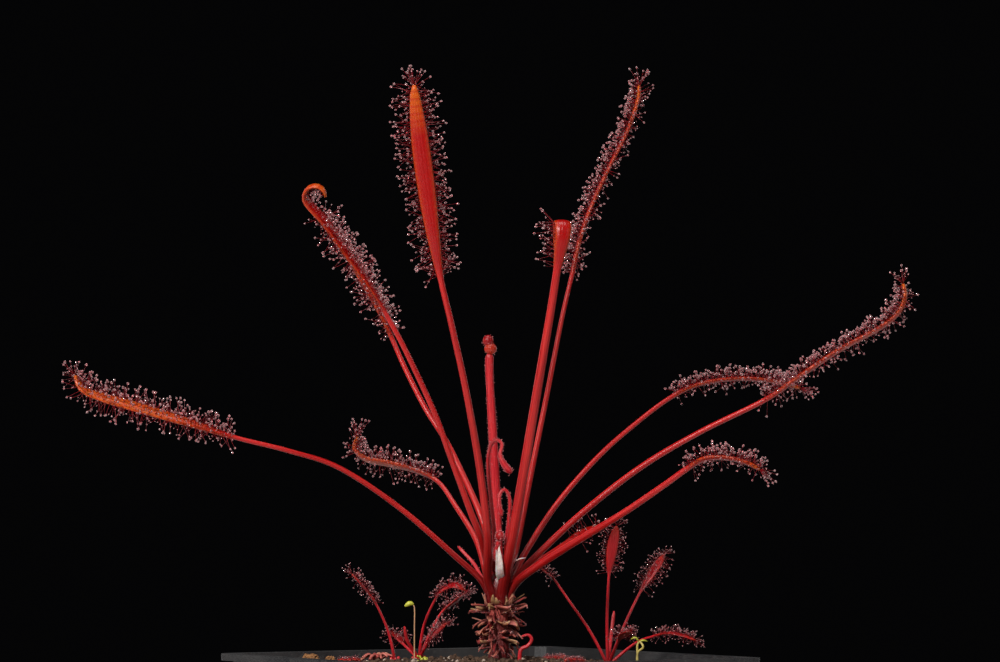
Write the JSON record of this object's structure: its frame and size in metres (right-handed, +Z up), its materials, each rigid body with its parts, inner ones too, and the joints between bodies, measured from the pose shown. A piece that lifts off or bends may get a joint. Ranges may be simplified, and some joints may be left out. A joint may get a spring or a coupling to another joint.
{
  "type": "sundew plant in a square nursery pot",
  "caption": "Red Cape sundew in a black 7 cm square pot, eleven long sticky leaves fanned out over a dry-skirted stem, with small seedlings round it.",
  "frame": {"origin": "middle of the pot's underside", "axes": "+Z up from the pot's base, +X along the fan of leaves to the right as pictured, +Y away from the picture's viewpoint"},
  "size_m": [0.1483, 0.094, 0.1713],
  "materials": {
    "black_plastic": "satin, a little dusty at the lip",
    "soil": null,
    "leaf_red": null,
    "young_red": "paler pink-red young leaf; leather stands in",
    "dry_leaf": "dry, crumpled, pale brown old leaf bases",
    "papery_scale": "thin pale papery scale",
    "lime_green": "yellow-green sprout; leather stands in",
    "bark": "rough brown bark"
  },
  "bodies": {
    "root": {"bark_chip_left": "bark", "bark_chip_right": "bark", "bark_chip_small": "bark", "basal_hook": "leaf_red", "crown": "leaf_red", "leaf_bud": "young_red", "leaf_centre": "young_red", "leaf_crook": "young_red", "leaf_far_left": "leaf_red", "leaf_folded": "leaf_red", "leaf_hairpin": "young_red", "leaf_left_behind": "leaf_red", "leaf_left_hooked": "leaf_red", "leaf_left_tall": "leaf_red", "leaf_right_long": "leaf_red", "leaf_right_low": "leaf_red", "leaf_right_small": "leaf_red", "leaf_right_upper": "leaf_red", "leaf_stub": "young_red", "leaf_upright_left": "leaf_red", "leaf_upright_right": "leaf_red", "moss_capsule": "lime_green", "old_rosette_left": "dry_leaf", "plantlet_left": "leaf_red", "plantlet_left_edge": "leaf_red", "plantlet_right": "leaf_red", "pot": "black_plastic", "rosette_far_left": "leaf_red", "rosette_front": "leaf_red", "rosette_right": "leaf_red", "seedling": "lime_green", "soil": "soil", "stem": "dry_leaf", "stipule": "papery_scale"}
  },
  "joints": []
}
